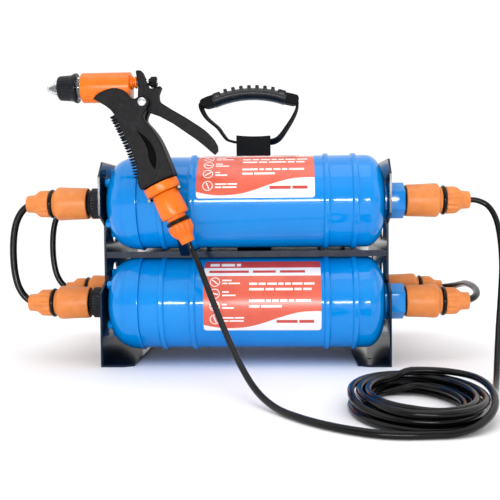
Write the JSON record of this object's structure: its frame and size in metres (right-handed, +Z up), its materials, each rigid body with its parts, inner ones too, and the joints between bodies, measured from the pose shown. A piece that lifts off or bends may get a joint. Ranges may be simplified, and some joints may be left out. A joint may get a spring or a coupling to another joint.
{
  "type": "water deionising filter",
  "caption": "Water filter with resin cartridges on a sheet steel stand, quick connectors, jumper hoses, a carrying handle and a spray gun on a coiled hose.",
  "frame": {"origin": "on the floor, under the middle of the stand with the gun's rest, free hose and gun left out", "axes": "+X along the cartridges towards the outlet and inlet end, +Y to the rear, +Z up"},
  "size_m": [0.4889, 0.4506, 0.2834],
  "materials": {
    "blue_plastic": "gloss",
    "orange_plastic": "satin",
    "black_plastic": "satin",
    "clear_plastic": "clear",
    "painted_steel": "gloss",
    "steel": "satin",
    "resin_beads": "matt",
    "webbing": "woven",
    "hose_plastic": "gloss"
  },
  "bodies": {
    "stand": {"left_end_plate": "painted_steel", "right_end_plate": "painted_steel", "mid_shelf": "painted_steel", "upper_front_shell": "blue_plastic", "upper_front_end_cap": "blue_plastic", "upper_front_resin_bed": "resin_beads", "upper_front_left_adaptor": "black_plastic", "upper_front_left_tail": "orange_plastic", "upper_front_right_adaptor": "black_plastic", "upper_front_right_tail": "orange_plastic", "lower_front_shell": "blue_plastic", "lower_front_end_cap": "blue_plastic", "lower_front_resin_bed": "resin_beads", "lower_front_left_adaptor": "black_plastic", "lower_front_left_tail": "orange_plastic", "lower_front_right_adaptor": "black_plastic", "lower_front_right_tail": "orange_plastic", "upper_rear_shell": "blue_plastic", "upper_rear_end_cap": "blue_plastic", "upper_rear_resin_bed": "resin_beads", "upper_rear_left_adaptor": "black_plastic", "upper_rear_left_tail": "orange_plastic", "upper_rear_right_adaptor": "black_plastic", "upper_rear_right_tail": "orange_plastic", "lower_rear_shell": "blue_plastic", "lower_rear_end_cap": "blue_plastic", "lower_rear_resin_bed": "resin_beads", "lower_rear_left_adaptor": "black_plastic", "lower_rear_left_tail": "orange_plastic", "lower_rear_right_adaptor": "black_plastic", "lower_rear_right_tail": "orange_plastic", "front_jumper": "hose_plastic", "rear_jumper": "hose_plastic", "lower_jumper": "hose_plastic", "hose_to_coil": "hose_plastic", "hose_coil": "hose_plastic", "hose_to_gun": "hose_plastic", "handle_band": "webbing"},
    "spray_gun": {"gun_barrel": "orange_plastic", "gun_grip": "black_plastic", "trigger_pin": "steel", "nozzle_tip": "clear_plastic", "gun_inlet": "orange_plastic", "gun_tail": "orange_plastic", "valve_spring": "steel"},
    "trigger": {"trigger_lever": "black_plastic"},
    "valve": {"valve_stem": "steel"},
    "knob": {"flow_knob": "black_plastic"},
    "nozzle": {"nozzle_collar": "black_plastic"},
    "gun_hose_collar": {"gun_collar": "orange_plastic"},
    "handle": {"handle_grip": "black_plastic", "handle_strap": "webbing"},
    "upper_front_left_release": {"upper_front_left_collar": "orange_plastic"},
    "upper_front_right_release": {"upper_front_right_collar": "orange_plastic"},
    "lower_front_left_release": {"lower_front_left_collar": "orange_plastic"},
    "lower_front_right_release": {"lower_front_right_collar": "orange_plastic"},
    "upper_rear_left_release": {"upper_rear_left_collar": "orange_plastic"},
    "upper_rear_right_release": {"upper_rear_right_collar": "orange_plastic"},
    "lower_rear_left_release": {"lower_rear_left_collar": "orange_plastic"},
    "lower_rear_right_release": {"lower_rear_right_collar": "orange_plastic"}
  },
  "joints": [
    {"name": "gun_lift", "type": "slide", "parent": "stand", "child": "spray_gun", "axis": [-0.4226, 0, 0.9063], "range_m": [0, 0.06]},
    {"name": "trigger_squeeze", "type": "hinge", "parent": "spray_gun", "child": "trigger", "pos_m": [-0.088, -0.11925, 0.2484], "axis": [0, 1, 0], "range_deg": [0, 18], "stiffness_Nm_per_rad": 0.4, "springref_deg": -11.46},
    {"name": "valve_pull", "type": "slide", "parent": "spray_gun", "child": "valve", "axis": [1, 0, 0], "range_m": [0, 0.0058]},
    {"name": "flow_knob_turn", "type": "hinge", "parent": "valve", "child": "knob", "pos_m": [-0.088, -0.11925, 0.268], "axis": [1, 0, 0], "range_deg": [0, 270]},
    {"name": "nozzle_turn", "type": "hinge", "parent": "spray_gun", "child": "nozzle", "pos_m": [-0.088, -0.11925, 0.2637], "axis": [1, 0, 0], "range_deg": [0, 300]},
    {"name": "gun_collar_release", "type": "slide", "parent": "spray_gun", "child": "gun_hose_collar", "axis": [0.4226, 0, -0.9063], "range_m": [0, 0.002], "stiffness_N_per_m": 500, "springref_m": -0.002},
    {"name": "handle_swing", "type": "hinge", "parent": "stand", "child": "handle", "pos_m": [0.005, 0.01175, 0.225], "axis": [1, 0, 0], "range_deg": [-80, 80], "stiffness_Nm_per_rad": 0.12},
    {"name": "upper_front_left_release_slide", "type": "slide", "parent": "stand", "child": "upper_front_left_release", "axis": [-1, 0, 0], "range_m": [0, 0.0024], "stiffness_N_per_m": 500, "springref_m": -0.002},
    {"name": "upper_front_right_release_slide", "type": "slide", "parent": "stand", "child": "upper_front_right_release", "axis": [1, 0, 0], "range_m": [0, 0.0024], "stiffness_N_per_m": 500, "springref_m": -0.002},
    {"name": "lower_front_left_release_slide", "type": "slide", "parent": "stand", "child": "lower_front_left_release", "axis": [-1, 0, 0], "range_m": [0, 0.0024], "stiffness_N_per_m": 500, "springref_m": -0.002},
    {"name": "lower_front_right_release_slide", "type": "slide", "parent": "stand", "child": "lower_front_right_release", "axis": [1, 0, 0], "range_m": [0, 0.0024], "stiffness_N_per_m": 500, "springref_m": -0.002},
    {"name": "upper_rear_left_release_slide", "type": "slide", "parent": "stand", "child": "upper_rear_left_release", "axis": [-1, 0, 0], "range_m": [0, 0.0024], "stiffness_N_per_m": 500, "springref_m": -0.002},
    {"name": "upper_rear_right_release_slide", "type": "slide", "parent": "stand", "child": "upper_rear_right_release", "axis": [1, 0, 0], "range_m": [0, 0.0024], "stiffness_N_per_m": 500, "springref_m": -0.002},
    {"name": "lower_rear_left_release_slide", "type": "slide", "parent": "stand", "child": "lower_rear_left_release", "axis": [-1, 0, 0], "range_m": [0, 0.0024], "stiffness_N_per_m": 500, "springref_m": -0.002},
    {"name": "lower_rear_right_release_slide", "type": "slide", "parent": "stand", "child": "lower_rear_right_release", "axis": [1, 0, 0], "range_m": [0, 0.0024], "stiffness_N_per_m": 500, "springref_m": -0.002}
  ],
  "couplings": [
    {"joint": "valve_pull", "follows": "trigger_squeeze", "m_per_rad": 0.0178}
  ]
}
